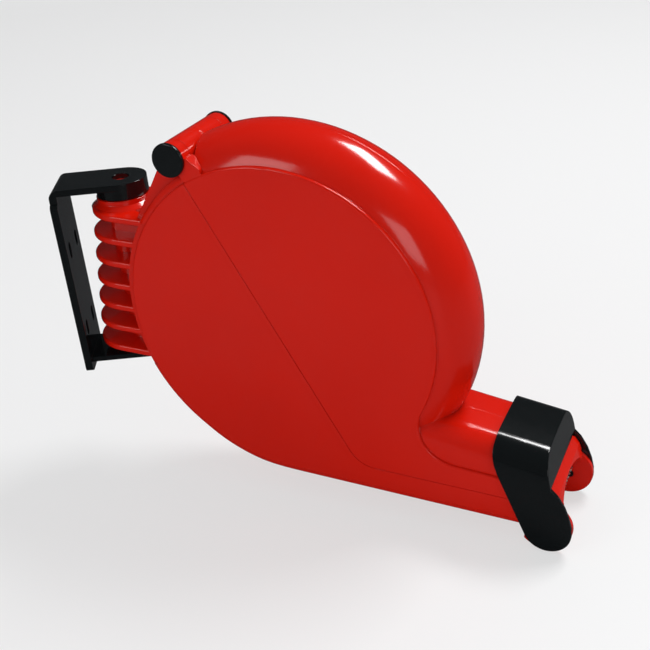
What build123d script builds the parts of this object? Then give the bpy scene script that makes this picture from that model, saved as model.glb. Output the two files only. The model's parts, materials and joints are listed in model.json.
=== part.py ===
from build123d import *
import os
from math import sin, cos, tan, radians, sqrt, pi, asin, atan2, degrees, hypot

# Wall-mounted, swivelling number-ticket dispenser: a snail-shaped housing of a
# base and a hinged cover, a pivoting latch collar over its neck, the ticket
# roll and guides inside, and a U-shaped wall bracket.  Millimetres.
#
# Room frame: origin at the centre of the wall plate's back face, +X out from
# the wall, +Z up, +Y to the right seen from the room.
# Dispenser frame: origin at the centre of the round side plates, x towards the
# mouth, z up, y across.  Everything but the bracket is drawn in it and then
# placed on the bracket's swivel axis.  Outlines are (x, z) points, extruded
# along y.  "Near" pieces lie at -y and "far" pieces at +y.

# ---------------------------------------------------------------- dimensions
# placement
SWIVEL_REST = -26.0           # dispenser's heading about the swivel axis, degrees
NOSE_DOWN = 5.0               # lean of the dispenser on the axis, degrees
HUB_X, HUB_Z = -112.3, 61.2   # swivel axis at the top face of the upper arm

# wall bracket
AXIS_OFF = 35.6               # swivel axis from the plate's front face
PLATE_T, PLATE_W, PLATE_H = 4.4, 36.0, 118.5
PLATE_CORNERS = [3.2, 2.5]    # fillet radii, in order of preference
SHOULDER = 8.0                # the plate's full width starts this far below its top
ARM_T = 3.6
LOW_ARM_T = ARM_T - 0.4
ARM_W = 30.6
ARM_BOT = 112.8               # lower arm's underside, below the upper arm's top
HUB_R = ARM_W / 2
HUB_T = 9.4                   # upper hub, arm included
HOLE_R = 5.2
BEND_R = 5.0
SLOT_W, SLOT_L = 4.6, 10.0
SLOT_DY, SLOT_DZ = 19.0, 52.0
SLOT_Z0 = -6.0

# housing
HALF = 27.5                   # half width over the raised side plates
BODY = 26.0                   # half width of the body behind the plates
WALL = 2.4
INNER = BODY - WALL
R_PLATE, R_BASE, R_DOME = 93.1, 97.6, 110.0
STRIP_SLOPE = 0.03            # inside floor
STRIP_TOP = -64.8             # upper edge of the side strip along the neck
STRIP_END = 148.8             # front end of the base
NOSE_X = 166.0                # front end of the side strip and body outlines
PLATE_FIL = 22.0              # inner corner between round plate and strip
KEEL_SLOPE = 0.0388           # outside, along the bottom
# (x, z) down the back of the belly and into the straight strip
KEEL_BODY = [(-55.0, -80.6), (-40.0, -89.9), (-25.0, -96.0),
             (-10.0, -99.2), (5.0, -99.7), (20.0, -99.2)]
KEEL_PLATE = [(-52.5, -76.9), (-38.0, -85.9), (-23.7, -91.7),
              (-9.4, -94.7), (5.0, -95.2), (19.8, -94.7)]

# seam between base and cover: a steep line, a rounded corner, a flat line
GAP = 0.25
SEAM_TOP = (-54.7, 79.8)
SEAM_COR = (50.35, -80.7)
SEAM_SLOPE = 0.041
SEAM_R = 18.0

# neck, and the collar over it
COL_X0 = 127.0                # x at which both crests are given
NECK_Z = -44.2
COL_CREST = -41.0
NECK_SLOPE = -0.09
COL_T = 2.6
FACE_X, FACE_Z, FACE_TILT = 160.5, -62.0, 0.27   # collar's leaning front face

# knuckle at the back
N_RIB, RIB_P, RIB_T, RIB_R = 7, 14.5, 4.0, 24.0
RIB_X, RIB_Z = -129.1, 45.7   # tip of the top rib
RIB_DX, RIB_SLOPE = -0.8, 0.045
KN_TOP, KN_BOT = 47.0, -46.5
HUB_GAP = 0.6                 # between knuckle seats and bracket
SEAT_TOP = HUB_T + HUB_GAP    # seat faces, below the upper arm's top
SEAT_BOT = ARM_BOT - LOW_ARM_T - HUB_GAP
STUB_R = HOLE_R - 0.07

# hinge
HINGE_X, HINGE_Z = -60.4, 88.8
BARREL_R = 9.0
PIN_R = 3.0
MID_Y = 19.3                  # half length of the base's barrel
RING_Y0, RING_Y1 = 19.5, 27.2
CAP_R, CAP_Y = 9.6, 29.1

# ears and latch
LATCH_X, LATCH_Z = 161.2, -90.2
LATCH_PIN_R = 2.4
EAR_X, EAR_Z, EAR_R = 159.3, -88.6, 15.2
EAR_IN, EAR_OUT = 25.2, 28.1
LEG_IN, LEG_OUT = 28.3, 30.4
LATCH_PIN_END = LEG_OUT - 0.9
LOBE_R = 13.2

# ticket roll
ROLL_X, ROLL_Z = -8.0, -9.0
ROLL_R, ROLL_W = 74.0, 41.0
CORE_R, CORE_T = 20.0, 1.6
HUB_OUT_R = CORE_R - CORE_T
AXLE_R = 4.0
AXLE_END = INNER - 0.1
SADDLE_Y0, SADDLE_Y1 = 21.6, INNER + 0.5
SLOT_RUN, SLOT_RISE = 0.837, 0.548   # direction the axle seats open in
SLOT_LEN = 30

# guide roller, ticket strip and chute
GUIDE_X, GUIDE_Z = 66.0, -71.0
GUIDE_R, GUIDE_AXLE_R = 6.5, 2.0
STRIP_T = 0.35
STRIP_START_Z = GUIDE_Z - GUIDE_R - 0.25
# (x, z) along the strip's top
STRIP_PATH = [(GUIDE_X + 1.0, STRIP_START_Z), (76.0, STRIP_START_Z - 0.35),
              (158.5, -78.0), (163.0, -77.4)]
SCREW_SPOTS = [(x, y) for x in (100.0, 132.0) for y in (-17.0, 17.0)]
BOSS_R, BOSS_H, BOSS_SINK = 3.2, 7.0, 0.8
SCREW_SEAT = 3.4              # screw heads' seats, below the strip
SIDES = (-1, 1)


# ------------------------------------------------------------------- helpers
def prism(outline, y0, y1):
    """Solid from a closed x-z outline between two y planes."""
    wire = Wire.make_polygon([Vector(x, y0, z) for x, z in outline], close=True)
    return Solid.extrude(Face(wire), Vector(0, y1 - y0, 0))


def face_prism(edges, half_width):
    """Solid from edges drawn in the plane y = 0, extruded to both sides."""
    face = Face(Wire(edges)).moved(Location((0, -half_width, 0)))
    return Solid.extrude(face, Vector(0, 2 * half_width, 0))


def cyl_y(x, z, r, y0, y1):
    plane = Plane(origin=(x, min(y0, y1), z), x_dir=(1, 0, 0), z_dir=(0, 1, 0))
    return Solid.make_cylinder(r, abs(y1 - y0), plane)


def cyl_z(x, y, z, r, height):
    return Solid.make_cylinder(r, height, Plane(origin=(x, y, z)))


def box(x0, x1, y0, y1, z0, z1):
    return Solid.make_box(x1 - x0, y1 - y0, z1 - z0, Plane(origin=(x0, y0, z0)))


def y_span(side, inner, outer):
    """The y range inner..outer on the given side, in rising order."""
    return sorted((side * inner, side * outer))


def shifted(outline, x, z):
    return [(x + dx, z + dz) for dx, dz in outline]


def one(shape):
    """Largest solid of a boolean result."""
    solids = shape.solids() if hasattr(shape, "solids") else [shape]
    return max(solids, key=lambda s: s.volume)


def join(shape, *others):
    return one(shape.fuse(*others))


def trim(shape, *cutters):
    return one(shape.cut(*cutters))


def try_fillet(shape, edges, radii):
    """Fillet with the first radius that works, else leave the edges sharp."""
    for r in radii:
        # the kernel may refuse a radius that is too large for a short edge
        try:
            rounded = shape.fillet(r, edges)
            if rounded.is_valid and rounded.volume > 0:
                return rounded
        except Exception:
            pass
    return shape


def side_edges(shape, half_width, tol=0.01):
    """Edges lying on the two faces y = +-half_width."""
    return [e for e in shape.edges() if abs(abs(e.center().Y) - half_width) < tol]


def at(x, z):
    return Vector(x, 0, z)


def polar(r, angle, cx=0.0, cz=0.0):
    return at(cx + r * cos(angle), cz + r * sin(angle))


def ring_edge(a0, a1, r):
    """Arc about the dispenser's origin."""
    return Edge.make_three_point_arc(polar(r, a0), polar(r, (a0 + a1) / 2), polar(r, a1))


def roof_block(half_width, crest, drop, shoulder, floor, x0, x1):
    """Block with a slightly crowned roof, round shoulders and upright sides.
    The crest is its height at x0, and it slides down by NECK_SLOPE along x."""
    crown_r = (half_width ** 2 + drop ** 2) / (2 * drop)
    crown_z = crest - crown_r
    y_sh = half_width - shoulder
    z_sh = crown_z + sqrt((crown_r - shoulder) ** 2 - y_sh ** 2)
    join_angle = atan2(y_sh, z_sh - crown_z)
    mid_angle = (pi / 2 + join_angle) / 2

    def point(y, z):
        return Vector(x0, y, z)

    def on_shoulder(side, angle):
        return point(side * (y_sh + shoulder * sin(angle)), z_sh + shoulder * cos(angle))

    low_l, low_r = point(-half_width, floor), point(half_width, floor)
    side_l, side_r = point(-half_width, z_sh), point(half_width, z_sh)
    top_l, top_r = on_shoulder(-1, join_angle), on_shoulder(1, join_angle)
    edges = [Edge.make_line(low_l, side_l),
             Edge.make_three_point_arc(side_l, on_shoulder(-1, mid_angle), top_l),
             Edge.make_three_point_arc(top_l, point(0, crest), top_r),
             Edge.make_three_point_arc(top_r, on_shoulder(1, mid_angle), side_r),
             Edge.make_line(side_r, low_r),
             Edge.make_line(low_r, low_l)]
    return Solid.extrude(Face(Wire(edges)), Vector(x1 - x0, 0, NECK_SLOPE * (x1 - x0)))


def dome(half_width, r_side, r_crest):
    """Body of revolution about the y axis with an arched rim section."""
    side_l, side_r = Vector(r_side, -half_width, 0), Vector(r_side, half_width, 0)
    axis_l, axis_r = Vector(0, -half_width, 0), Vector(0, half_width, 0)
    edges = [Edge.make_line(axis_l, side_l),
             Edge.make_three_point_arc(side_l, Vector(r_crest, 0, 0), side_r),
             Edge.make_line(side_r, axis_r),
             Edge.make_line(axis_r, axis_l)]
    return Solid.revolve(Face(Wire(edges)), 360, Axis((0, 0, 0), (0, 1, 0)))


# swivel axis in the dispenser's frame, and the dispenser's place on the bracket
SWIVEL_FRAME = Location((HUB_X, 0, HUB_Z)) * Location((0, 0, 0), (0, -NOSE_DOWN, 0))
PLACE = (Location((PLATE_T + AXIS_OFF, 0, PLATE_H / 2))
         * Location((0, 0, 0), (0, 0, SWIVEL_REST))
         * Location((0, 0, 0), (0, NOSE_DOWN, 0))
         * Location((-HUB_X, 0, -HUB_Z)))


def on_axis(depth0, depth1, r):
    """Cylinder on the swivel axis; depths run down from the upper arm's top."""
    return cyl_z(0, 0, -depth1, r, depth1 - depth0).moved(SWIVEL_FRAME)


def hinge_cyl(r, y0, y1):
    return cyl_y(HINGE_X, HINGE_Z, r, y0, y1)


def inner_floor(x):
    return -R_BASE + WALL + STRIP_SLOPE * x


def neck_crest(x):
    return NECK_Z + NECK_SLOPE * (x - COL_X0)


def collar_crest(x):
    return COL_CREST + NECK_SLOPE * (x - COL_X0)


def face_x(z):
    """x of the collar's front face at height z."""
    return FACE_X - FACE_TILT * (z - FACE_Z)


def under_strip(x):
    """Underside of the ticket strip along its long straight run."""
    (x0, z0), (x1, z1) = STRIP_PATH[1:3]
    return z0 + (x - x0) * (z1 - z0) / (x1 - x0) - STRIP_T


def neck_hollow(clearance=0.0):
    return roof_block(INNER - clearance, neck_crest(50) - WALL - clearance,
                      1.4, 11.0, -100, 50, 153.8)


# --------------------------------------------------------------- wall bracket
def wall_slot(y, z):
    """Cutter for one upright screw slot."""
    half_run = SLOT_L / 2 - SLOT_W / 2
    ends = [Solid.make_cylinder(SLOT_W / 2, PLATE_T + 2,
                                Plane(origin=(-1, y, z + dz), x_dir=(0, 1, 0), z_dir=(1, 0, 0)))
            for dz in (-half_run, half_run)]
    return box(-1, PLATE_T + 1, y - SLOT_W / 2, y + SLOT_W / 2,
               z - half_run, z + half_run).fuse(*ends)


def wall_bracket():
    top, bottom = PLATE_H / 2, -PLATE_H / 2
    axis_x = PLATE_T + AXIS_OFF
    half_arm = ARM_W / 2

    def arm(z, thickness):
        bar = box(0.0, axis_x, -half_arm, half_arm, z, z + thickness)
        return bar.fuse(cyl_z(axis_x, 0, z, HUB_R, thickness))

    plate = box(0, PLATE_T, -PLATE_W / 2, PLATE_W / 2, bottom, top - SHOULDER)
    plate = try_fillet(plate, plate.edges().filter_by(Axis.X), PLATE_CORNERS)
    plate = join(plate, box(0, PLATE_T, -half_arm, half_arm, 0, top))
    hub = cyl_z(axis_x, 0, top - HUB_T, HUB_R, HUB_T)
    bracket = join(plate, arm(top - ARM_T, ARM_T), arm(top - ARM_BOT, LOW_ARM_T), hub)
    # rounded outer bend where the upper arm leaves the plate
    bend_z = top - BEND_R
    bend = box(-1, BEND_R, -40, 40, bend_z, top + 1).cut(
        cyl_y(BEND_R, bend_z, BEND_R, -41, 41))
    bracket = trim(bracket, bend)
    bracket = bracket.cut(cyl_z(axis_x, 0, top - HUB_T - 1, HOLE_R, HUB_T + 2),
                          cyl_z(axis_x, 0, top - ARM_BOT - 1, HOLE_R, ARM_T + 2))
    for side in SIDES:
        for level in (-1, 1):
            bracket = bracket.cut(wall_slot(side * SLOT_DY / 2, SLOT_Z0 + level * SLOT_DZ / 2))
    return one(bracket)


# ------------------------------------------------- regions shared by the shells
def cover_region(shift):
    """Everything on the cover's side of the seam, shifted along x and z."""
    steep = at(SEAM_COR[0] - SEAM_TOP[0], SEAM_COR[1] - SEAM_TOP[1]).normalized()
    flat_angle = atan2(SEAM_SLOPE, 1)
    tangent_len = SEAM_R * tan((flat_angle - atan2(steep.Z, steep.X)) / 2)
    start = (SEAM_TOP[0] - steep.X * 16, SEAM_TOP[1] - steep.Z * 16)
    arc0 = (SEAM_COR[0] - steep.X * tangent_len, SEAM_COR[1] - steep.Z * tangent_len)
    arc1 = (SEAM_COR[0] + tangent_len * cos(flat_angle),
            SEAM_COR[1] + tangent_len * sin(flat_angle))
    cx, cz = arc0[0] - steep.Z * SEAM_R, arc0[1] + steep.X * SEAM_R
    mid_angle = (atan2(arc0[1] - cz, arc0[0] - cx) + atan2(arc1[1] - cz, arc1[0] - cx)) / 2
    arc_mid = (cx + SEAM_R * cos(mid_angle), cz + SEAM_R * sin(mid_angle))
    seam_end = (STRIP_END, SEAM_COR[1] + SEAM_SLOPE * (STRIP_END - SEAM_COR[0]))

    def point(p):
        return at(p[0] + shift, p[1] + shift)

    edges = [Edge.make_line(point(start), point(arc0)),
             Edge.make_three_point_arc(point(arc0), point(arc_mid), point(arc1)),
             Edge.make_line(point(arc1), point(seam_end))]
    around = [seam_end, (STRIP_END, -130), (230.0, -130), (230.0, 140), (start[0], 140), start]
    edges += [Edge.make_line(point(p), point(q)) for p, q in zip(around, around[1:])]
    return face_prism(edges, 60)


def snail_edges(keel, radius, start_angle, top):
    """Outline from start_angle over the round back, along the keel to the
    nose, and up the nose to the given height."""
    scale = radius / hypot(*keel[0])
    first = at(keel[0][0] * scale, keel[0][1] * scale)
    points = [first] + [at(x, z) for x, z in keel[1:]]
    last = points[-1]
    nose_low = at(NOSE_X, last.Z + KEEL_SLOPE * (NOSE_X - last.X))
    tangents = [at(-first.Z, first.X).normalized(), at(1, KEEL_SLOPE).normalized()]
    return [ring_edge(start_angle, pi / 2, radius),
            ring_edge(pi / 2, 2 * pi + atan2(first.Z, first.X), radius),
            Edge.make_spline(points, tangents=tangents),
            Edge.make_line(last, nose_low),
            Edge.make_line(nose_low, at(NOSE_X, top))]


def side_plates():
    """Round plate with a strip to the nose and a rounded inner corner."""
    r_out = R_PLATE + PLATE_FIL
    cz = STRIP_TOP + PLATE_FIL
    cx = sqrt(r_out ** 2 - cz ** 2)
    touch = at(cx * R_PLATE / r_out, cz * R_PLATE / r_out)
    mid_angle = (atan2(touch.Z - cz, touch.X - cx) + 3 * pi / 2) / 2
    corner = at(cx, STRIP_TOP)
    plates = face_prism(
        snail_edges(KEEL_PLATE, R_PLATE, atan2(touch.Z, touch.X), STRIP_TOP)
        + [Edge.make_line(at(NOSE_X, STRIP_TOP), corner),
           Edge.make_three_point_arc(corner, polar(PLATE_FIL, mid_angle, cx, cz), touch)], HALF)
    return try_fillet(plates, side_edges(plates, HALF), [1.1, 0.8, 0.5])


COVER_SIDE = cover_region(0)
COVER_ROOM = cover_region(GAP)
PLATES = side_plates()


# ----------------------------------------------------------------- base shell
HINGE_WEB = [(-58, 82), (-69.0, 87.5), (-81.0, 63.5), (-90.5, 46), (-60, 40)]
SPINE = [(-110.0, 44), (-103.0, -43), (-80, -43), (-90, 0), (-80, 44)]
SPINE_TIE = [(-112, 44), (-112, 30), (-70, 30), (-70, 55), (-86, 52), (-97.5, 46.5)]
ROLL_SADDLE = [(-7.5, 1.5), (3.5, -11.0), (-12, -34), (-24, -26)]   # from the roll's axis


def base_body():
    """Round belly and bottom strip with rounded edges."""
    start_angle, top = radians(-20), -40
    body = face_prism(snail_edges(KEEL_BODY, R_BASE, start_angle, top)
                      + [Edge.make_line(at(NOSE_X, top), polar(R_BASE, start_angle))], BODY)
    edges = [e for e in side_edges(body, BODY)
             if (e.center().Z < -40.5 or e.center().X < 60) and e.length > 1]
    body = try_fillet(body, edges, [4.5, 4.0, 3.5, 2.5])
    # the rim steps in behind the plates where the knuckle's ribs join it
    steps = []
    for side in SIDES:
        y0, y1 = y_span(side, RIB_R - 0.1, 32)
        ring = cyl_y(0, 0, 112, y0, y1).cut(cyl_y(0, 0, R_PLATE + 0.4, y0 - 1, y1 + 1))
        steps.append(one(ring.intersect(box(-112, -60, -40, 40, KN_BOT, KN_TOP))))
    body = trim(body, *steps)
    web = prism(HINGE_WEB, -MID_Y + 0.1, MID_Y - 0.1)
    return trim(body.fuse(PLATES, web), COVER_SIDE)


def knuckle_rib(index):
    """Tongue-shaped rib, tilted about its tip."""
    tip_x = RIB_X + RIB_DX * index
    root_x = -84.0
    rib = join(box(tip_x + RIB_R, root_x, -RIB_R, RIB_R, -RIB_T, 0),
               cyl_z(tip_x + RIB_R, 0, -RIB_T, RIB_R, RIB_T))
    rim = [e for e in rib.edges()
           if abs(abs(e.center().Z + RIB_T / 2) - RIB_T / 2) < 0.01
           and e.center().X < root_x - 0.5]
    rib = try_fillet(rib, rim, [1.3, 0.9])
    tilt = -degrees(atan2(RIB_SLOPE, 1))
    rib = rib.moved(Location((tip_x, 0, 0)) * Location((0, 0, 0), (0, tilt, 0))
                    * Location((-tip_x, 0, 0)))
    return rib.moved(Location((0, 0, RIB_Z - RIB_P * index)))


def knuckle():
    """Ribs on a spine, with seats and stubs square to the swivel axis."""
    ribs = [knuckle_rib(i) for i in range(N_RIB)]
    seat_r = 15.8
    top_seat = on_axis(SEAT_TOP, SEAT_TOP + 6.0, seat_r)
    core = on_axis(SEAT_TOP + 1.0, SEAT_BOT - 1.0, 10.5)
    low_seat = on_axis(SEAT_BOT - 6.0, SEAT_BOT, 14.0)
    flare = Solid.make_cone(19.5, seat_r, 2.8, Plane(origin=(0, 0, -SEAT_TOP - 5.4)))
    body = prism(SPINE, -9.6, 9.6).fuse(
        top_seat, core, low_seat, flare.moved(SWIVEL_FRAME), prism(SPINE_TIE, -12.0, 12.0), *ribs)
    # nothing but the stubs reaches past the seats' faces
    body = body.cut(on_axis(SEAT_BOT, SEAT_BOT + 40, 60), on_axis(-60, SEAT_TOP, 17.5))
    return join(body, on_axis(3.0, SEAT_TOP + 4, STUB_R),
                on_axis(SEAT_BOT - 4, ARM_BOT - 0.6, STUB_R))


def base_cavity():
    end_x = STRIP_END - 3
    channel = [(0, inner_floor(0)), (end_x, inner_floor(end_x)), (end_x, -60), (0, -60)]
    return join(cyl_y(0, 0, R_BASE - WALL, -INNER, INNER), prism(channel, -INNER, INNER))


def axle_supports():
    """Saddles for the roll axle and the guide roller's axle, on both walls."""
    guide_foot = [(GUIDE_X - 5.5, GUIDE_Z), (GUIDE_X + 5.5, GUIDE_Z),
                  (GUIDE_X + 9, -92), (GUIDE_X - 9, -92)]
    supports = []
    for side in SIDES:
        y0, y1 = y_span(side, SADDLE_Y0, SADDLE_Y1)
        supports.append(join(prism(shifted(ROLL_SADDLE, ROLL_X, ROLL_Z), y0, y1),
                             cyl_y(ROLL_X, ROLL_Z, 7.6, y0, y1)))
        supports.append(join(prism(guide_foot, y0, y1),
                             cyl_y(GUIDE_X, GUIDE_Z, 5.5, y0, y1)))
    # nothing stands above the seam inside
    return [trim(s, COVER_SIDE) for s in supports]


def base_shell():
    base = join(base_body(), knuckle(), hinge_cyl(BARREL_R, -MID_Y, MID_Y))
    base = trim(base, base_cavity())
    # opening in the strip's front end
    base = trim(base, box(STRIP_END - 5, STRIP_END + 2, -22.4, 22.4, -84.5, -60))
    # room for the cover's hinge rings, and the pin hole
    for side in SIDES:
        base = base.cut(hinge_cyl(BARREL_R + 0.5, side * MID_Y, side * 32))
    base = one(base)
    base = trim(base, hinge_cyl(PIN_R + 0.06, -30, 30))
    base = join(base, *axle_supports())
    # roll axle seats: round bottoms open towards the cover
    across_x, across_z = SLOT_RISE * AXLE_R, SLOT_RUN * AXLE_R
    run_x, run_z = SLOT_LEN * SLOT_RUN, SLOT_LEN * SLOT_RISE
    seat = shifted([(across_x, -across_z), (-across_x, across_z),
                    (-across_x + run_x, across_z + run_z),
                    (across_x + run_x, -across_z + run_z)], ROLL_X, ROLL_Z)
    for side in SIDES:
        y0, y1 = y_span(side, 20, INNER + 0.1)
        base = base.cut(cyl_y(ROLL_X, ROLL_Z, AXLE_R, y0, y1), prism(seat, y0, y1))
        base = base.cut(cyl_y(GUIDE_X, GUIDE_Z, GUIDE_AXLE_R, y0, y1))
    base = one(base)
    # screw bosses for the chute
    base = join(base, *[cyl_z(x, y, inner_floor(x) - BOSS_SINK, BOSS_R, BOSS_H)
                        for x, y in SCREW_SPOTS])
    for x, y in SCREW_SPOTS:
        base = base.cut(cyl_z(x, y, inner_floor(x) + 0.2, 1.25, 6.5))
    return one(base)


# ---------------------------------------------------------------- cover shell
# the neck ends behind the collar's front face, then leans out into a short
# brow over the mouth; everything in front of this line is cut away
NOSE_CUT = [(face_x(NECK_Z + 12) - 4.2, NECK_Z + 12), (FACE_X - 4.2, FACE_Z),
            (FACE_X - 0.6, FACE_Z - 1.6), (164.3, -68.8), (167.2, -75.4), (167.2, -77.5),
            (164.8, -78.0), (164.8, -130), (230, -130), (230, NECK_Z + 12)]
EAR_WEB = [(STRIP_END + GAP, -72), (163.5, -72), (166.5, -76), (168, -85),
           (160, -96), (152, -96), (STRIP_END + GAP, -92.9)]
RING_TONGUE = [(HINGE_X + 2, HINGE_Z), (-50.0, 91.0), (-42.0, 86.0),
               (-40.5, 78.0), (-52.8, 77.4), (-56.3, 82.7)]


def mouth_cutter():
    """Block with an arched top."""
    half_width, spring, crest, floor, x0, x1 = 21.5, -74.5, -69.6, -100, 150, 175
    left, right = Vector(x0, -half_width, spring), Vector(x0, half_width, spring)
    low_l, low_r = Vector(x0, -half_width, floor), Vector(x0, half_width, floor)
    edges = [Edge.make_three_point_arc(left, Vector(x0, 0, crest), right),
             Edge.make_line(right, low_r),
             Edge.make_line(low_r, low_l),
             Edge.make_line(low_l, left)]
    return Solid.extrude(Face(Wire(edges)), Vector(x1 - x0, 0, 0))


def ear(side):
    y0, y1 = y_span(side, EAR_IN, EAR_OUT)
    disc = join(cyl_y(EAR_X, EAR_Z, EAR_R, y0, y1), prism(EAR_WEB, y0, y1))
    return trim(disc, box(STRIP_END - 40, STRIP_END + GAP, -60, 60, -130, 0))


def hinge_ring(side):
    y0, y1 = y_span(side, RING_Y0, RING_Y1)
    tongue = one(prism(RING_TONGUE, y0, y1).intersect(COVER_ROOM))
    return join(hinge_cyl(BARREL_R, y0, y1), tongue)


def cover_shell():
    neck = roof_block(BODY, neck_crest(60), 1.5, 13.0, -92, 60, 170)
    cover = join(dome(BODY, R_PLATE - 1.5, R_DOME), neck)
    cover = join(cover, PLATES)
    cover = one(cover.intersect(COVER_ROOM))
    cover = trim(cover, box(STRIP_END - 2, 180, -60, 60, -130, -80.5))
    hollow = dome(INNER, R_PLATE - 1.5 - WALL, R_DOME - WALL).fuse(neck_hollow())
    cover = trim(cover, hollow)
    cover = trim(cover, prism(NOSE_CUT, -60, 60))
    cover = trim(cover, mouth_cutter())
    cover = join(cover, *[ear(side) for side in SIDES])
    for side in SIDES:
        y0, y1 = y_span(side, EAR_IN - 3, EAR_OUT + 1)
        cover = cover.cut(cyl_y(LATCH_X, LATCH_Z, LATCH_PIN_R + 0.06, y0, y1))
    cover = one(cover)
    # clear the barrel, then add the rings at its ends
    cover = trim(cover, hinge_cyl(BARREL_R + 1.8, -RING_Y0, RING_Y0),
                 hinge_cyl(BARREL_R + 0.4, -40, 40))
    for side in SIDES:
        cover = join(cover, hinge_ring(side))
    cover = trim(cover, hinge_cyl(PIN_R, -30, 30))
    # one half and its mirror image keep the cover symmetric
    half = one(cover.intersect(box(-200, 300, 0, 80, -200, 200)))
    return join(half, half.mirror(Plane.XZ))


def hinge_cap(side):
    cap = hinge_cyl(CAP_R, *y_span(side, RING_Y1 + 0.1, CAP_Y))
    return try_fillet(cap, side_edges(cap, CAP_Y), [0.8, 0.5])


# --------------------------------------------------------------- latch collar
def collar_side():
    """Side view of the collar, with a round lobe about the latch pivot."""
    knee_x, knee_z = 131.6, -61.4
    dx, dz = LATCH_X - knee_x, LATCH_Z - knee_z
    dist = hypot(dx, dz)
    # the rear edge runs from the knee tangent to the lobe
    angle = atan2(dz, dx) - asin(LOBE_R / dist)
    length = sqrt(dist ** 2 - LOBE_R ** 2)
    outline = [(COL_X0, -30), (COL_X0, -46.0), (127.6, -50.5), (128.9, -54.8), (knee_x, knee_z),
               (knee_x + length * cos(angle), knee_z + length * sin(angle)),
               (LATCH_X, LATCH_Z - 4), (LATCH_X + LOBE_R * 0.998, LATCH_Z),
               (173.9, -85.0), (172.0, -78.5), (168.9, -71.8), (164.6, -65.6), (161.6, -62.9),
               (FACE_X, FACE_Z), (face_x(-30), -30)]
    return join(prism(outline, -50, 50), cyl_y(LATCH_X, LATCH_Z, LOBE_R, -50, 50))


def latch_collar():
    outer = roof_block(LEG_OUT, collar_crest(120), 1.5, 15.0, -110, 120, 180)
    inner = roof_block(LEG_IN, collar_crest(119) - COL_T, 1.4, 13.0, -125, 119, 181)
    collar = one(outer.intersect(collar_side()))
    collar = try_fillet(collar, side_edges(collar, LEG_OUT, 0.02), [0.5, 0.3])
    face_rim = [e for e in collar.edges()
                if e.center().Z > FACE_Z + 1 and e.length > 3
                and abs(e.center().X - face_x(e.center().Z)) < 0.3]
    collar = try_fillet(collar, face_rim, [1.8, 1.4, 1.0, 0.6])
    # the hollow stops behind the front face panel
    top = FACE_Z + 30
    panel = prism([(FACE_X - 2.4, FACE_Z), (FACE_X + 5, FACE_Z),
                   (face_x(top) + 5, top), (face_x(top) - 2.4, top)], -60, 60)
    collar = trim(collar, *inner.cut(panel).solids())
    for side in SIDES:
        y0, y1 = y_span(side, LEG_IN - 1, LATCH_PIN_END)
        collar = collar.cut(cyl_y(LATCH_X, LATCH_Z, LATCH_PIN_R, y0, y1))
    return one(collar)


def latch_pin(side):
    return cyl_y(LATCH_X, LATCH_Z, LATCH_PIN_R, *y_span(side, EAR_IN - 0.5, LATCH_PIN_END))


def swivel_washers():
    spans = ((HUB_T + 0.05, SEAT_TOP - 0.05), (SEAT_BOT + 0.05, SEAT_BOT + 0.55))
    return [trim(on_axis(d0, d1, 10.5), on_axis(d0 - 1, d1 + 1, HOLE_R + 0.1))
            for d0, d1 in spans]


# ---------------------------------------------------- roll, hub, guide roller
def roll_cyl(r, half_length):
    return cyl_y(ROLL_X, ROLL_Z, r, -half_length, half_length)


def guide_cyl(r, half_length):
    return cyl_y(GUIDE_X, GUIDE_Z, r, -half_length, half_length)


def roll_hub():
    """Outer tube and axle sleeve joined by three spokes."""
    half_t, reach, half_length = 1.2, HUB_OUT_R - 1, 20.0
    spokes = []
    for i in range(3):
        angle = radians(90 + 120 * i)
        out_x, out_z = reach * cos(angle), reach * sin(angle)
        off_x, off_z = -half_t * sin(angle), half_t * cos(angle)
        outline = [(off_x, off_z), (off_x + out_x, off_z + out_z),
                   (-off_x + out_x, -off_z + out_z), (-off_x, -off_z)]
        spokes.append(prism(shifted(outline, ROLL_X, ROLL_Z), -half_length, half_length))
    hub = roll_cyl(HUB_OUT_R, half_length).cut(roll_cyl(HUB_OUT_R - 2.0, 21))
    hub = hub.fuse(roll_cyl(6.6, half_length), *spokes)
    return trim(hub, roll_cyl(AXLE_R + 0.08, 30))


# ------------------------------------------------- strip, chute, tear blade
def ticket_strip():
    underside = [(x, z - STRIP_T) for x, z in reversed(STRIP_PATH)]
    return prism(STRIP_PATH + underside, -20.0, 20.0)


def guide_chute():
    """Sloping tray under the strip, on four legs with recessed screw holes."""
    back, front = 90, 157.0
    chute = prism([(back, under_strip(back) - 0.3), (front, under_strip(front) - 0.3),
                   (front, under_strip(front) - 1.9), (back, under_strip(back) - 1.9)],
                  -21.5, 21.5)
    legs = []
    for x, y in SCREW_SPOTS:
        foot = inner_floor(x) - BOSS_SINK + BOSS_H + 0.05
        legs.append(cyl_z(x, y, foot, BOSS_R, under_strip(x) - 1.2 - foot))
    chute = join(chute, *legs)
    for x, y in SCREW_SPOTS:
        chute = chute.cut(cyl_z(x, y, inner_floor(x), 1.6, 30),
                          cyl_z(x, y, under_strip(x) - SCREW_SEAT, 2.7, 10))
    return one(chute)


def chute_screw(x, y):
    head_z = under_strip(x) - SCREW_SEAT + 0.02
    tip_z = inner_floor(x) + 0.6
    return join(cyl_z(x, y, head_z, 2.5, 1.6), cyl_z(x, y, tip_z, 1.2, head_z - tip_z))


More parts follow.
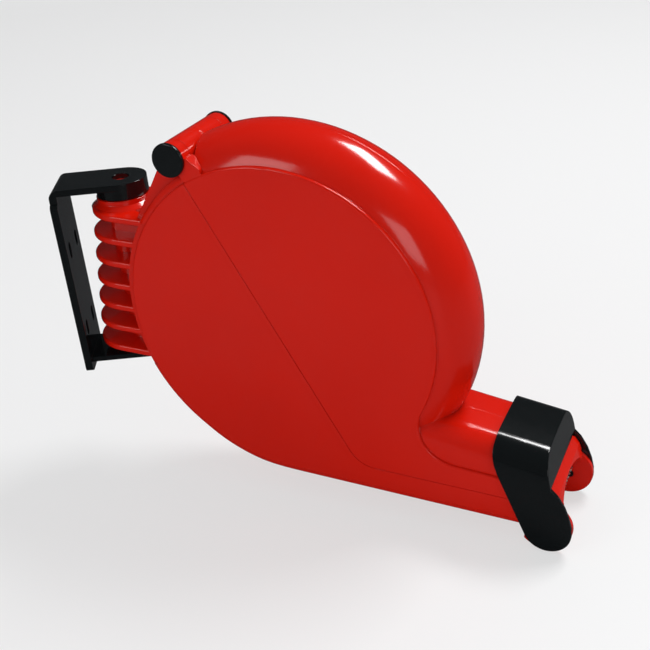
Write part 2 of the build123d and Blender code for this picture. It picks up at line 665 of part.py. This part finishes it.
def tear_blade():
    """Thin plate under the chute's front end with a row of V notches."""
    back, front, thickness, half_width = 150.0, 163.6, 0.6, 20.5
    notches, notch_half = 13, 1.45
    top_back, top_front = under_strip(back) - 1.95, under_strip(front) - 1.95
    blade = prism([(back, top_back), (front, top_front),
                   (front, top_front - thickness), (back, top_back - thickness)],
                  -half_width, half_width)
    for i in range(notches):
        y = -half_width + 2 * half_width * i / (notches - 1)
        notch = Wire.make_polygon([Vector(164.2, y - notch_half, -90),
                                   Vector(164.2, y + notch_half, -90),
                                   Vector(161.6, y, -90)], close=True)
        blade = blade.cut(Solid.extrude(Face(notch), Vector(0, 0, 20)))
    return one(blade)


# ------------------------------------------- hold-down spring under the neck
MOUNT_TOP = neck_crest(118.0) - WALL
MOUNT_BOT = MOUNT_TOP - 8.0
LEAF_TOP = MOUNT_BOT - 0.05


def spring_mount():
    return one(box(108.0, 118.0, -7.0, 7.0, MOUNT_BOT, MOUNT_TOP + 4).intersect(
        neck_hollow(0.05)))


def hold_down_spring():
    leaf = [(106.0, LEAF_TOP), (119.0, LEAF_TOP), (146.0, -74.0), (150.5, -73.2),
            (150.5, -73.6), (146.0, -74.45), (118.8, MOUNT_TOP - 8.5), (106.0, MOUNT_TOP - 8.5)]
    return prism(leaf, -6.0, 6.0)


def brake_pad():
    pad = prism([(143.0, -76.6), (149.4, -76.6), (149.4, -74.0), (146.0, -74.6),
                 (143.0, -72.5)], -9.0, 9.0)
    above_leaf = [(100, -30), (119.0, LEAF_TOP), (146.0, -74.0), (150.5, -73.2), (150.5, -30)]
    leaf_room = [(106.0, LEAF_TOP), (119.0, LEAF_TOP), (146.0, -73.9), (150.5, -73.1),
                 (150.5, -73.65), (146.0, -74.5), (118.8, MOUNT_TOP - 8.55),
                 (106.0, MOUNT_TOP - 8.55)]
    return trim(pad, prism(above_leaf, -12, 12), prism(leaf_room, -12, 12))


# --------------------------------------------------------------------- export
# pieces in the dispenser's frame
dispenser = {
    "base_shell": [base_shell()],
    "cover_shell": [cover_shell()],
    "hinge_pin": [hinge_cyl(PIN_R, -RING_Y1, RING_Y1)],
    "hinge_cap_near": [hinge_cap(-1)],
    "hinge_cap_far": [hinge_cap(1)],
    "latch_collar": [latch_collar()],
    "latch_pin_near": [latch_pin(-1)],
    "latch_pin_far": [latch_pin(1)],
    "swivel_washers": swivel_washers(),
    "roll_axle": [roll_cyl(AXLE_R, AXLE_END)],
    "roll_hub": [roll_hub()],
    "roll_core": [trim(roll_cyl(CORE_R, 20.2), roll_cyl(HUB_OUT_R, 30))],
    "ticket_roll": [trim(roll_cyl(ROLL_R, ROLL_W / 2), roll_cyl(CORE_R, 30))],
    "guide_roller_axle": [guide_cyl(GUIDE_AXLE_R, AXLE_END)],
    "guide_roller": [trim(guide_cyl(GUIDE_R, 20.5), guide_cyl(GUIDE_AXLE_R + 0.06, 30))],
    "ticket_strip": [ticket_strip()],
    "guide_chute": [guide_chute()],
    "chute_screws": [chute_screw(x, y) for x, y in SCREW_SPOTS],
    "tear_blade": [tear_blade()],
    "spring_mount": [spring_mount()],
    "hold_down_spring": [hold_down_spring()],
    "brake_pad": [brake_pad()],
}

os.makedirs("parts", exist_ok=True)
export_step(wall_bracket(), "parts/wall_bracket.step")
for name, solids in dispenser.items():
    placed = [s.moved(PLACE) for s in solids]
    shape = placed[0] if len(placed) == 1 else Compound(children=placed)
    export_step(shape, "parts/" + name + ".step")
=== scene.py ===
"""A ticket dispenser with a round housing that holds a paper roll, on a pale studio sweep.

The pieces stand in the row frame: metres, z up. The dispenser has its own frame in millimetres:
origin at the centre of the round housing, x towards the mouth, y across, z up. It is swivelled
about the row's vertical and its nose is tipped down. Patterns that follow the product's shape
are laid out in that frame.
"""

import json
import math

import bpy
import numpy as np
from mathutils import Matrix, Vector


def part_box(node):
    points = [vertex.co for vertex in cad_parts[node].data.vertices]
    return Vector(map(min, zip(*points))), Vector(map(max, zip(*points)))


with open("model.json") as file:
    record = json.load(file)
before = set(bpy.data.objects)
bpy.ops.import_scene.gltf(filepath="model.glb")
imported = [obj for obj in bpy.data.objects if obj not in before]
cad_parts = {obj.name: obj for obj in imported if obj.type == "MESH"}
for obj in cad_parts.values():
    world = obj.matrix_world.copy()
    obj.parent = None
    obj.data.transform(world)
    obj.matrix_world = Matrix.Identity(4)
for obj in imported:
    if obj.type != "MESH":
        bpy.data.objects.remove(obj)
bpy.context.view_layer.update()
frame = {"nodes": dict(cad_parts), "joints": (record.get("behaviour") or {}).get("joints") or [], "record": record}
nodes = frame["nodes"]

# ------------------------------------------------------------------ the dispenser's frame
MM = 0.001
ROLL_X, ROLL_Y, ROLL_Z = -8.0, 0.0, -9.0  # the roll's centre in the dispenser's frame, mm
SWIVEL = math.radians(-26.0)
NOSE_DOWN = math.radians(5.0)

joints = {joint["name"]: joint for joint in frame["joints"]}
TURN = Matrix.Rotation(SWIVEL, 3, "Z") @ Matrix.Rotation(NOSE_DOWN, 3, "Y")
ORIGIN = Vector(joints["roll_spin"]["pos_m"]) - TURN @ (Vector((ROLL_X, ROLL_Y, ROLL_Z)) * MM)
DISPENSER_TO_ROW = Matrix.Translation(ORIGIN) @ TURN.to_4x4() @ Matrix.Scale(MM, 4)


# ------------------------------------------------------------------ shader helpers
class Shader:
    """The node tree of a material or world. Each call adds nodes and returns an output."""

    def __init__(self, owner, shader_node):
        self.owner = owner
        owner.use_nodes = True
        self.tree = owner.node_tree
        self.shader = self.tree.nodes[shader_node]

    def put(self, node, inputs):
        """Link or set each input by its name or index; None leaves it alone."""
        for key, value in inputs.items():
            if isinstance(value, bpy.types.NodeSocket):
                self.tree.links.new(value, node.inputs[key])
            elif value is not None:
                node.inputs[key].default_value = value

    def surface(self, inputs):
        self.put(self.shader, inputs)

    def node(self, kind, inputs=None, **settings):
        node = self.tree.nodes.new(kind)
        for name, value in settings.items():
            setattr(node, name, value)
        self.put(node, inputs or {})
        return node

    def math(self, operation, a, b=None, clamp=False):
        node = self.node("ShaderNodeMath", {0: a, 1: b}, operation=operation, use_clamp=clamp)
        return node.outputs[0]

    def object_place(self):
        """Object coordinates, in metres."""
        return self.node("ShaderNodeTexCoord").outputs["Object"]

    def dispenser_place(self):
        """Object coordinates taken to the dispenser's frame, in mm."""
        shift, rotation, scale = DISPENSER_TO_ROW.inverted().decompose()
        inputs = {
            "Vector": self.object_place(),
            "Location": shift,
            "Rotation": rotation.to_euler("XYZ"),
            "Scale": scale,
        }
        return self.node("ShaderNodeMapping", inputs, vector_type="POINT").outputs["Vector"]

    def split(self, place):
        return self.node("ShaderNodeSeparateXYZ", {0: place}).outputs

    def noise(self, place, scale, detail=3.0, rough=0.5):
        inputs = {"Vector": place, "Scale": scale, "Detail": detail, "Roughness": rough}
        return self.node("ShaderNodeTexNoise", inputs).outputs["Fac"]

    def ramp(self, value, low_colour, high_colour, low=0.3, high=0.7):
        node = self.node("ShaderNodeValToRGB", {"Fac": value})
        stops = ((low, low_colour), (high, high_colour))
        for element, (position, colour) in zip(node.color_ramp.elements, stops):
            element.position = position
            element.color = (*colour, 1)
        return node.outputs["Color"]

    def span(self, value, to_low=0.0, to_high=1.0, low=0.3, high=0.7):
        """Map low..high to to_low..to_high, clamped."""
        inputs = {
            "Value": value,
            "From Min": low,
            "From Max": high,
            "To Min": to_low,
            "To Max": to_high,
        }
        return self.node("ShaderNodeMapRange", inputs).outputs["Result"]

    def mix(self, factor, below, colour):
        """The colour socket `below`, covered by a flat colour where factor is 1."""
        colour_a, colour_b, colour_result = 6, 7, 2
        inputs = {"Factor": factor, colour_a: below, colour_b: (*colour, 1)}
        return self.node("ShaderNodeMix", inputs, data_type="RGBA").outputs[colour_result]

    def bump(self, height, strength, distance, normal=None):
        inputs = {"Height": height, "Strength": strength, "Distance": distance, "Normal": normal}
        return self.node("ShaderNodeBump", inputs).outputs["Normal"]


def new_material(name):
    return Shader(bpy.data.materials.new(name), "Principled BSDF")


# ------------------------------------------------------------------ materials
def plastic(name, base, dark, rough, coat=0.0, seam=False, bevel=0.0):
    """Moulded plastic: faint mottling, smears, a slow ripple and a fine grain."""
    sh = new_material(name)
    place = sh.object_place()
    mottle = sh.noise(place, scale=9.0, detail=2.0)
    sh.surface({"Base Color": sh.ramp(mottle, dark, base), "IOR": 1.5})

    grain = sh.noise(place, scale=420.0)
    smear = sh.noise(place, scale=24.0, detail=4.0, rough=0.6)
    grain_rough = sh.span(grain, rough * 0.92, rough * 1.08)
    smear_rough = sh.span(smear, 0.0, rough * 0.25, low=0.45, high=0.75)
    sh.surface({"Roughness": sh.math("ADD", grain_rough, smear_rough)})
    if coat:
        sh.surface({"Coat Weight": coat, "Coat Roughness": 0.04})

    normal = None
    if bevel:
        normal = sh.node("ShaderNodeBevel", {"Radius": bevel}, samples=4).outputs["Normal"]
    ripple = sh.noise(place, scale=30.0, detail=2.0)
    normal = sh.bump(ripple, strength=0.25, distance=0.0008, normal=normal)
    normal = sh.bump(grain, strength=0.15, distance=0.00004, normal=normal)
    if seam:
        # a fine line round the middle plane, y = 0, fading out within 0.3 mm
        off_middle = sh.math("ABSOLUTE", sh.split(sh.dispenser_place())["Y"])
        line = sh.math("SUBTRACT", 1.0, sh.span(off_middle, low=0.05, high=0.30), clamp=True)
        normal = sh.bump(line, strength=0.6, distance=0.00012, normal=normal)
    sh.surface({"Normal": normal})
    return sh.owner


def brushed_metal(name, base, rough, y_scale, scale):
    """Metal with brush marks drawn out across the dispenser, along y."""
    sh = new_material(name)
    inputs = {"Vector": sh.dispenser_place(), "Scale": (1, y_scale, 1)}
    stretched = sh.node("ShaderNodeMapping", inputs).outputs[0]
    marks = sh.noise(stretched, scale=scale, detail=4.0, rough=0.6)
    dark = tuple(channel * 0.82 for channel in base)
    sh.surface({
        "Base Color": sh.ramp(marks, dark, base),
        "Metallic": 1.0,
        "Roughness": sh.span(marks, rough * 0.8, rough * 1.25),
        "Normal": sh.bump(marks, strength=0.2, distance=0.00003),
    })
    return sh.owner


def paper_fibre(sh, place):
    return sh.noise(place, scale=1.2, detail=6.0, rough=0.7)


def rolled_paper():
    """Wound ticket paper: fine rings on the two ends, plain paper elsewhere."""
    end_y = 20.3  # paper further out than this shows its wound edge, mm
    ring_rate = 5.2  # radians of ring wave per mm of radius
    sh = new_material("rolled_paper")
    place = sh.dispenser_place()
    axes = sh.split(place)
    x = sh.math("SUBTRACT", axes["X"], ROLL_X)
    z = sh.math("SUBTRACT", axes["Z"], ROLL_Z)
    radius = sh.math("SQRT", sh.math("ADD", sh.math("MULTIPLY", x, x), sh.math("MULTIPLY", z, z)))
    wobble = sh.math("MULTIPLY", sh.noise(place, scale=0.06), 0.6)
    wave = sh.math("SINE", sh.math("MULTIPLY", sh.math("ADD", radius, wobble), ring_rate))
    on_end = sh.math("GREATER_THAN", sh.math("ABSOLUTE", axes["Y"]), end_y)
    rings = sh.math("MULTIPLY", sh.span(wave, low=-1.0, high=1.0), on_end)
    fibre = paper_fibre(sh, place)
    tone = sh.math("ADD", sh.math("MULTIPLY", rings, -0.35), sh.span(fibre, 0.9, 1.0))
    relief = sh.math("ADD", rings, sh.math("MULTIPLY", fibre, 0.3))
    sh.surface({
        "Base Color": sh.ramp(tone, (0.55, 0.47, 0.33), (0.86, 0.80, 0.66), low=0.4, high=1.0),
        "Roughness": 0.82,
        "Normal": sh.bump(relief, strength=0.5, distance=0.0002),
    })
    return sh.owner


def strip_paper():
    """Ticket strip: a dashed tear line across it at each ticket and a red line by each edge."""
    ticket = 32.0  # length of a ticket along x, mm
    tear_half_width = 0.35
    dash_pitch, dash_gap = 2.0, 0.8
    border_inner, border_outer = 14.5, 16.0  # distance from the middle
    x_offset, y_offset = 400.0, 100.0  # keep the modulo's input positive
    sh = new_material("strip_paper")
    place = sh.dispenser_place()
    axes = sh.split(place)
    along = sh.math("MODULO", sh.math("ADD", axes["X"], x_offset), ticket)
    from_tear = sh.math("ABSOLUTE", sh.math("SUBTRACT", along, ticket / 2))
    on_tear = sh.math("LESS_THAN", from_tear, tear_half_width)
    across = sh.math("MODULO", sh.math("ADD", axes["Y"], y_offset), dash_pitch)
    tear = sh.math("MULTIPLY", on_tear, sh.math("GREATER_THAN", across, dash_gap))
    off_middle = sh.math("ABSOLUTE", axes["Y"])
    border = sh.math(
        "MULTIPLY",
        sh.math("GREATER_THAN", off_middle, border_inner),
        sh.math("LESS_THAN", off_middle, border_outer),
    )
    fibre = paper_fibre(sh, place)
    colour = sh.ramp(fibre, (0.80, 0.74, 0.60), (0.88, 0.83, 0.70))
    colour = sh.mix(border, colour, (0.35, 0.05, 0.04))
    colour = sh.mix(tear, colour, (0.12, 0.1, 0.08))
    sh.surface({
        "Base Color": colour,
        "Roughness": 0.8,
        "Normal": sh.bump(fibre, strength=0.3, distance=0.0001),
    })
    return sh.owner


def cardboard():
    sh = new_material("cardboard")
    fibre = sh.noise(sh.dispenser_place(), scale=0.9, detail=6.0, rough=0.7)
    sh.surface({
        "Base Color": sh.ramp(fibre, (0.30, 0.20, 0.11), (0.44, 0.31, 0.18)),
        "Roughness": 0.88,
        "Normal": sh.bump(fibre, strength=0.5, distance=0.0002),
    })
    return sh.owner


def rubber():
    sh = new_material("rubber")
    grain = sh.noise(sh.object_place(), scale=700.0, detail=5.0, rough=0.7)
    sh.surface({
        "Base Color": sh.ramp(grain, (0.02, 0.02, 0.021), (0.045, 0.045, 0.046)),
        "Roughness": sh.span(grain, 0.7, 0.9),
        "Normal": sh.bump(grain, strength=0.5, distance=0.0002),
    })
    return sh.owner


def floor_paper():
    """Pale and slightly glowing to the camera, so that shadows stay soft; dark in reflections."""
    sh = new_material("floor_paper")
    ray = sh.node("ShaderNodeLightPath").outputs
    mottle = sh.noise(sh.object_place(), scale=60.0, detail=4.0)
    colour = sh.ramp(mottle, (0.89, 0.895, 0.90), (0.91, 0.915, 0.92))
    colour = sh.mix(ray["Is Glossy Ray"], colour, (0.06, 0.062, 0.065))
    colour = sh.mix(ray["Is Camera Ray"], colour, (0.25, 0.251, 0.253))
    sh.surface({
        "Base Color": colour,
        "Emission Color": (1, 1, 1, 1),
        "Emission Strength": sh.math("MULTIPLY", ray["Is Camera Ray"], 0.60),
        "Roughness": 0.55,
    })
    return sh.owner


# material slot of a piece -> its material
LOOK = {
    "red_plastic": plastic("red_plastic", base=(0.66, 0.0095, 0.002), dark=(0.61, 0.0085, 0.002),
                           rough=0.14, coat=0.12, seam=True, bevel=0.0006),
    "black_plastic": plastic("black_plastic", base=(0.0045, 0.006, 0.0065),
                             dark=(0.0035, 0.005, 0.0055), rough=0.13, coat=0.1, bevel=0.0006),
    "grey_plastic": plastic("grey_plastic", base=(0.34, 0.35, 0.36), dark=(0.30, 0.31, 0.32),
                            rough=0.42),
    "white_nylon": plastic("white_nylon", base=(0.82, 0.81, 0.77), dark=(0.76, 0.75, 0.70),
                           rough=0.38),
    "steel": brushed_metal("steel", base=(0.62, 0.62, 0.63), rough=0.28, y_scale=0.05, scale=2.0),
    "blade_steel": brushed_metal("blade_steel", base=(0.66, 0.66, 0.68), rough=0.24,
                                 y_scale=0.03, scale=3.0),
    "paper": rolled_paper(),
}
# the strip shares the roll's "paper" slot but has its own print
STRIP = strip_paper()
LOOK["cardboard"] = cardboard()
LOOK["rubber"] = rubber()

slot_of = {part["node"]: part["material_slot"] for part in frame["record"]["subparts"]}
for name, ob in nodes.items():
    ob.data.materials.clear()
    ob.data.materials.append(STRIP if name == "ticket_strip" else LOOK[slot_of[name]])

# ------------------------------------------------------------------ view directions
# the camera's place (mm) and axes in the dispenser's frame
CAMERA_AT = Vector((230.072, -472.794, 293.151))
CAMERA_FORWARD = Vector((-0.35402, 0.78761, -0.50433))
CAMERA_RIGHT = Vector((0.91425, 0.40504, -0.00921))
CAMERA_UP = Vector((-0.19702, 0.46434, 0.86346))
LENS, SENSOR = 58.00375, 36.0  # mm

forward = (TURN @ CAMERA_FORWARD).normalized()
# level directions seen from the camera: away from it, and to its right
ahead = Vector((forward.x, forward.y, 0)).normalized()
side = Vector((ahead.y, -ahead.x, 0))
up = Vector((0, 0, 1))


# ------------------------------------------------------------------ stage
def build_floor():
    """A sheet that lies just under the lowest piece and curves up into a wall behind."""
    half_width = 4.0
    near, bend_start = -2.5, 1.6  # where the flat part begins and ends, along `ahead`
    bend_radius, wall_top = 0.9, 4.0
    gap = 0.0008
    floor_z = min(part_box(name)[0].z for name in nodes) - gap
    bend = [
        (bend_start + bend_radius * math.sin(a), bend_radius * (1 - math.cos(a)))
        for a in np.linspace(0.05, math.pi / 2, 24)
    ]
    # (distance ahead, height)
    profile = [(near, 0.0), (bend_start, 0.0), *bend, (bend_start + bend_radius, wall_top)]
    verts = []
    for distance, height in profile:
        for across in (-half_width, half_width):
            point = ahead * distance + side * across
            verts.append((point.x, point.y, floor_z + height))
    faces = [(2 * i, 2 * i + 1, 2 * i + 3, 2 * i + 2) for i in range(len(profile) - 1)]
    mesh = bpy.data.meshes.new("floor")
    mesh.from_pydata(verts, [], faces)
    for polygon in mesh.polygons:
        polygon.use_smooth = True
    floor = bpy.data.objects.new("floor", mesh)
    bpy.context.scene.collection.objects.link(floor)
    mesh.materials.append(floor_paper())


def area_light(name, offset, size, power):
    """A rectangular light aimed at the dispenser; offset is (side, up, ahead) from it."""
    light = bpy.data.lights.new(name, "AREA")
    light.shape = "RECTANGLE"
    light.size, light.size_y = size
    light.energy = power
    ob = bpy.data.objects.new(name, light)
    ob.location = ORIGIN + side * offset[0] + up * offset[1] + ahead * offset[2]
    ob.rotation_euler = (ORIGIN - ob.location).to_track_quat("-Z", "Y").to_euler()
    bpy.context.scene.collection.objects.link(ob)


def build_world():
    """Pale to the camera, dimmer as light, almost dark in reflections."""
    world = bpy.data.worlds.new("studio")
    bpy.context.scene.world = world
    sh = Shader(world, "Background")
    ray = sh.node("ShaderNodeLightPath").outputs
    seen = sh.span(ray["Is Camera Ray"], to_low=0.48, to_high=0.86, low=0.0, high=1.0)
    strength = sh.span(ray["Is Glossy Ray"], to_low=seen, to_high=0.05, low=0.0, high=1.0)
    sh.surface({"Color": (0.93, 0.94, 0.96, 1), "Strength": strength})


def build_camera():
    camera = bpy.data.cameras.new("camera")
    camera.sensor_width = SENSOR
    camera.lens = LENS
    camera.clip_start, camera.clip_end = 0.01, 50
    ob = bpy.data.objects.new("camera", camera)
    right = (TURN @ CAMERA_RIGHT).normalized()
    camera_up = (TURN @ CAMERA_UP).normalized()
    placed = Matrix((right, camera_up, -forward)).transposed().to_4x4()
    placed.translation = ORIGIN + TURN @ (CAMERA_AT * MM)
    ob.matrix_world = placed
    bpy.context.scene.collection.objects.link(ob)
    bpy.context.scene.camera = ob


build_floor()
area_light("key", offset=(0.9, 1.5, 0.5), size=(0.9, 0.45), power=27)
area_light("fill", offset=(-1.4, 0.9, -0.9), size=(0.8, 0.8), power=5)
area_light("front", offset=(0.3, 0.5, -1.8), size=(0.7, 0.7), power=3)
build_world()
build_camera()
bpy.context.scene.view_settings.view_transform = "Standard"
bpy.context.scene.view_settings.look = "None"
